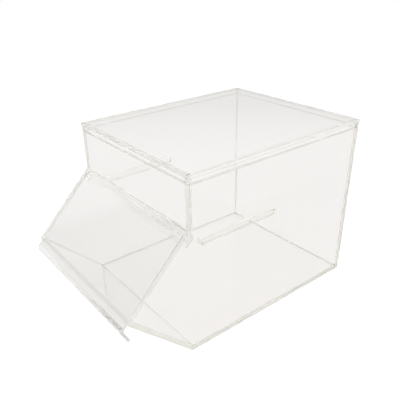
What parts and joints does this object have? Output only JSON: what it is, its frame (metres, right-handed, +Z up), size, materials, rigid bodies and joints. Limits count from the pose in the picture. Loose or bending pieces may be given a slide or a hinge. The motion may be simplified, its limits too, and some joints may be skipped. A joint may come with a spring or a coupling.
{
  "type": "candy bin",
  "caption": "Clear acrylic box for loose sweets, with a lift-off lid and a hinged front door in a forward mouth that flips up on a cross rod.",
  "frame": {"origin": "middle of the floor's underside, below the middle of the upright box", "axes": "+Z up, mouth and door towards -Y, width along X"},
  "size_m": [0.2042, 0.3235, 0.2015],
  "materials": {
    "left_side_panel": "clear cast acrylic, flame-polished edges",
    "right_side_panel": "clear cast acrylic, flame-polished edges",
    "floor_panel": "clear cast acrylic, flame-polished edges",
    "rear_wall": "clear cast acrylic, flame-polished edges",
    "front_upper_wall": "clear cast acrylic, flame-polished edges",
    "front_lower_wall": "clear cast acrylic, flame-polished edges",
    "hinge_rod": "clear cast acrylic, flame-polished edges",
    "left_runner": "clear cast acrylic, flame-polished edges",
    "right_runner": "clear cast acrylic, flame-polished edges",
    "door_panel": "clear cast acrylic, flame-polished edges",
    "lid_top_plate": "clear cast acrylic, flame-polished edges",
    "lid_skirt_front": "clear cast acrylic, flame-polished edges",
    "lid_skirt_rear": "clear cast acrylic, flame-polished edges",
    "lid_skirt_left": "clear cast acrylic, flame-polished edges",
    "lid_skirt_right": "clear cast acrylic, flame-polished edges"
  },
  "bodies": {
    "bin": {"left_side_panel": "left_side_panel", "right_side_panel": "right_side_panel", "floor_panel": "floor_panel", "rear_wall": "rear_wall", "front_upper_wall": "front_upper_wall", "front_lower_wall": "front_lower_wall", "hinge_rod": "hinge_rod", "left_runner": "left_runner", "right_runner": "right_runner"},
    "door": {"door_panel": "door_panel"},
    "lid": {"lid_top_plate": "lid_top_plate", "lid_skirt_front": "lid_skirt_front", "lid_skirt_rear": "lid_skirt_rear", "lid_skirt_left": "lid_skirt_left", "lid_skirt_right": "lid_skirt_right"}
  },
  "joints": [
    {"name": "door_flip", "type": "hinge", "parent": "bin", "child": "door", "pos_m": [0, -0.12234, 0.13656], "axis": [-1, 0, 0], "range_deg": [0, 78]},
    {"name": "lid_lift", "type": "slide", "parent": "bin", "child": "lid", "axis": [0, 0, 1], "range_m": [0, 0.08]}
  ]
}
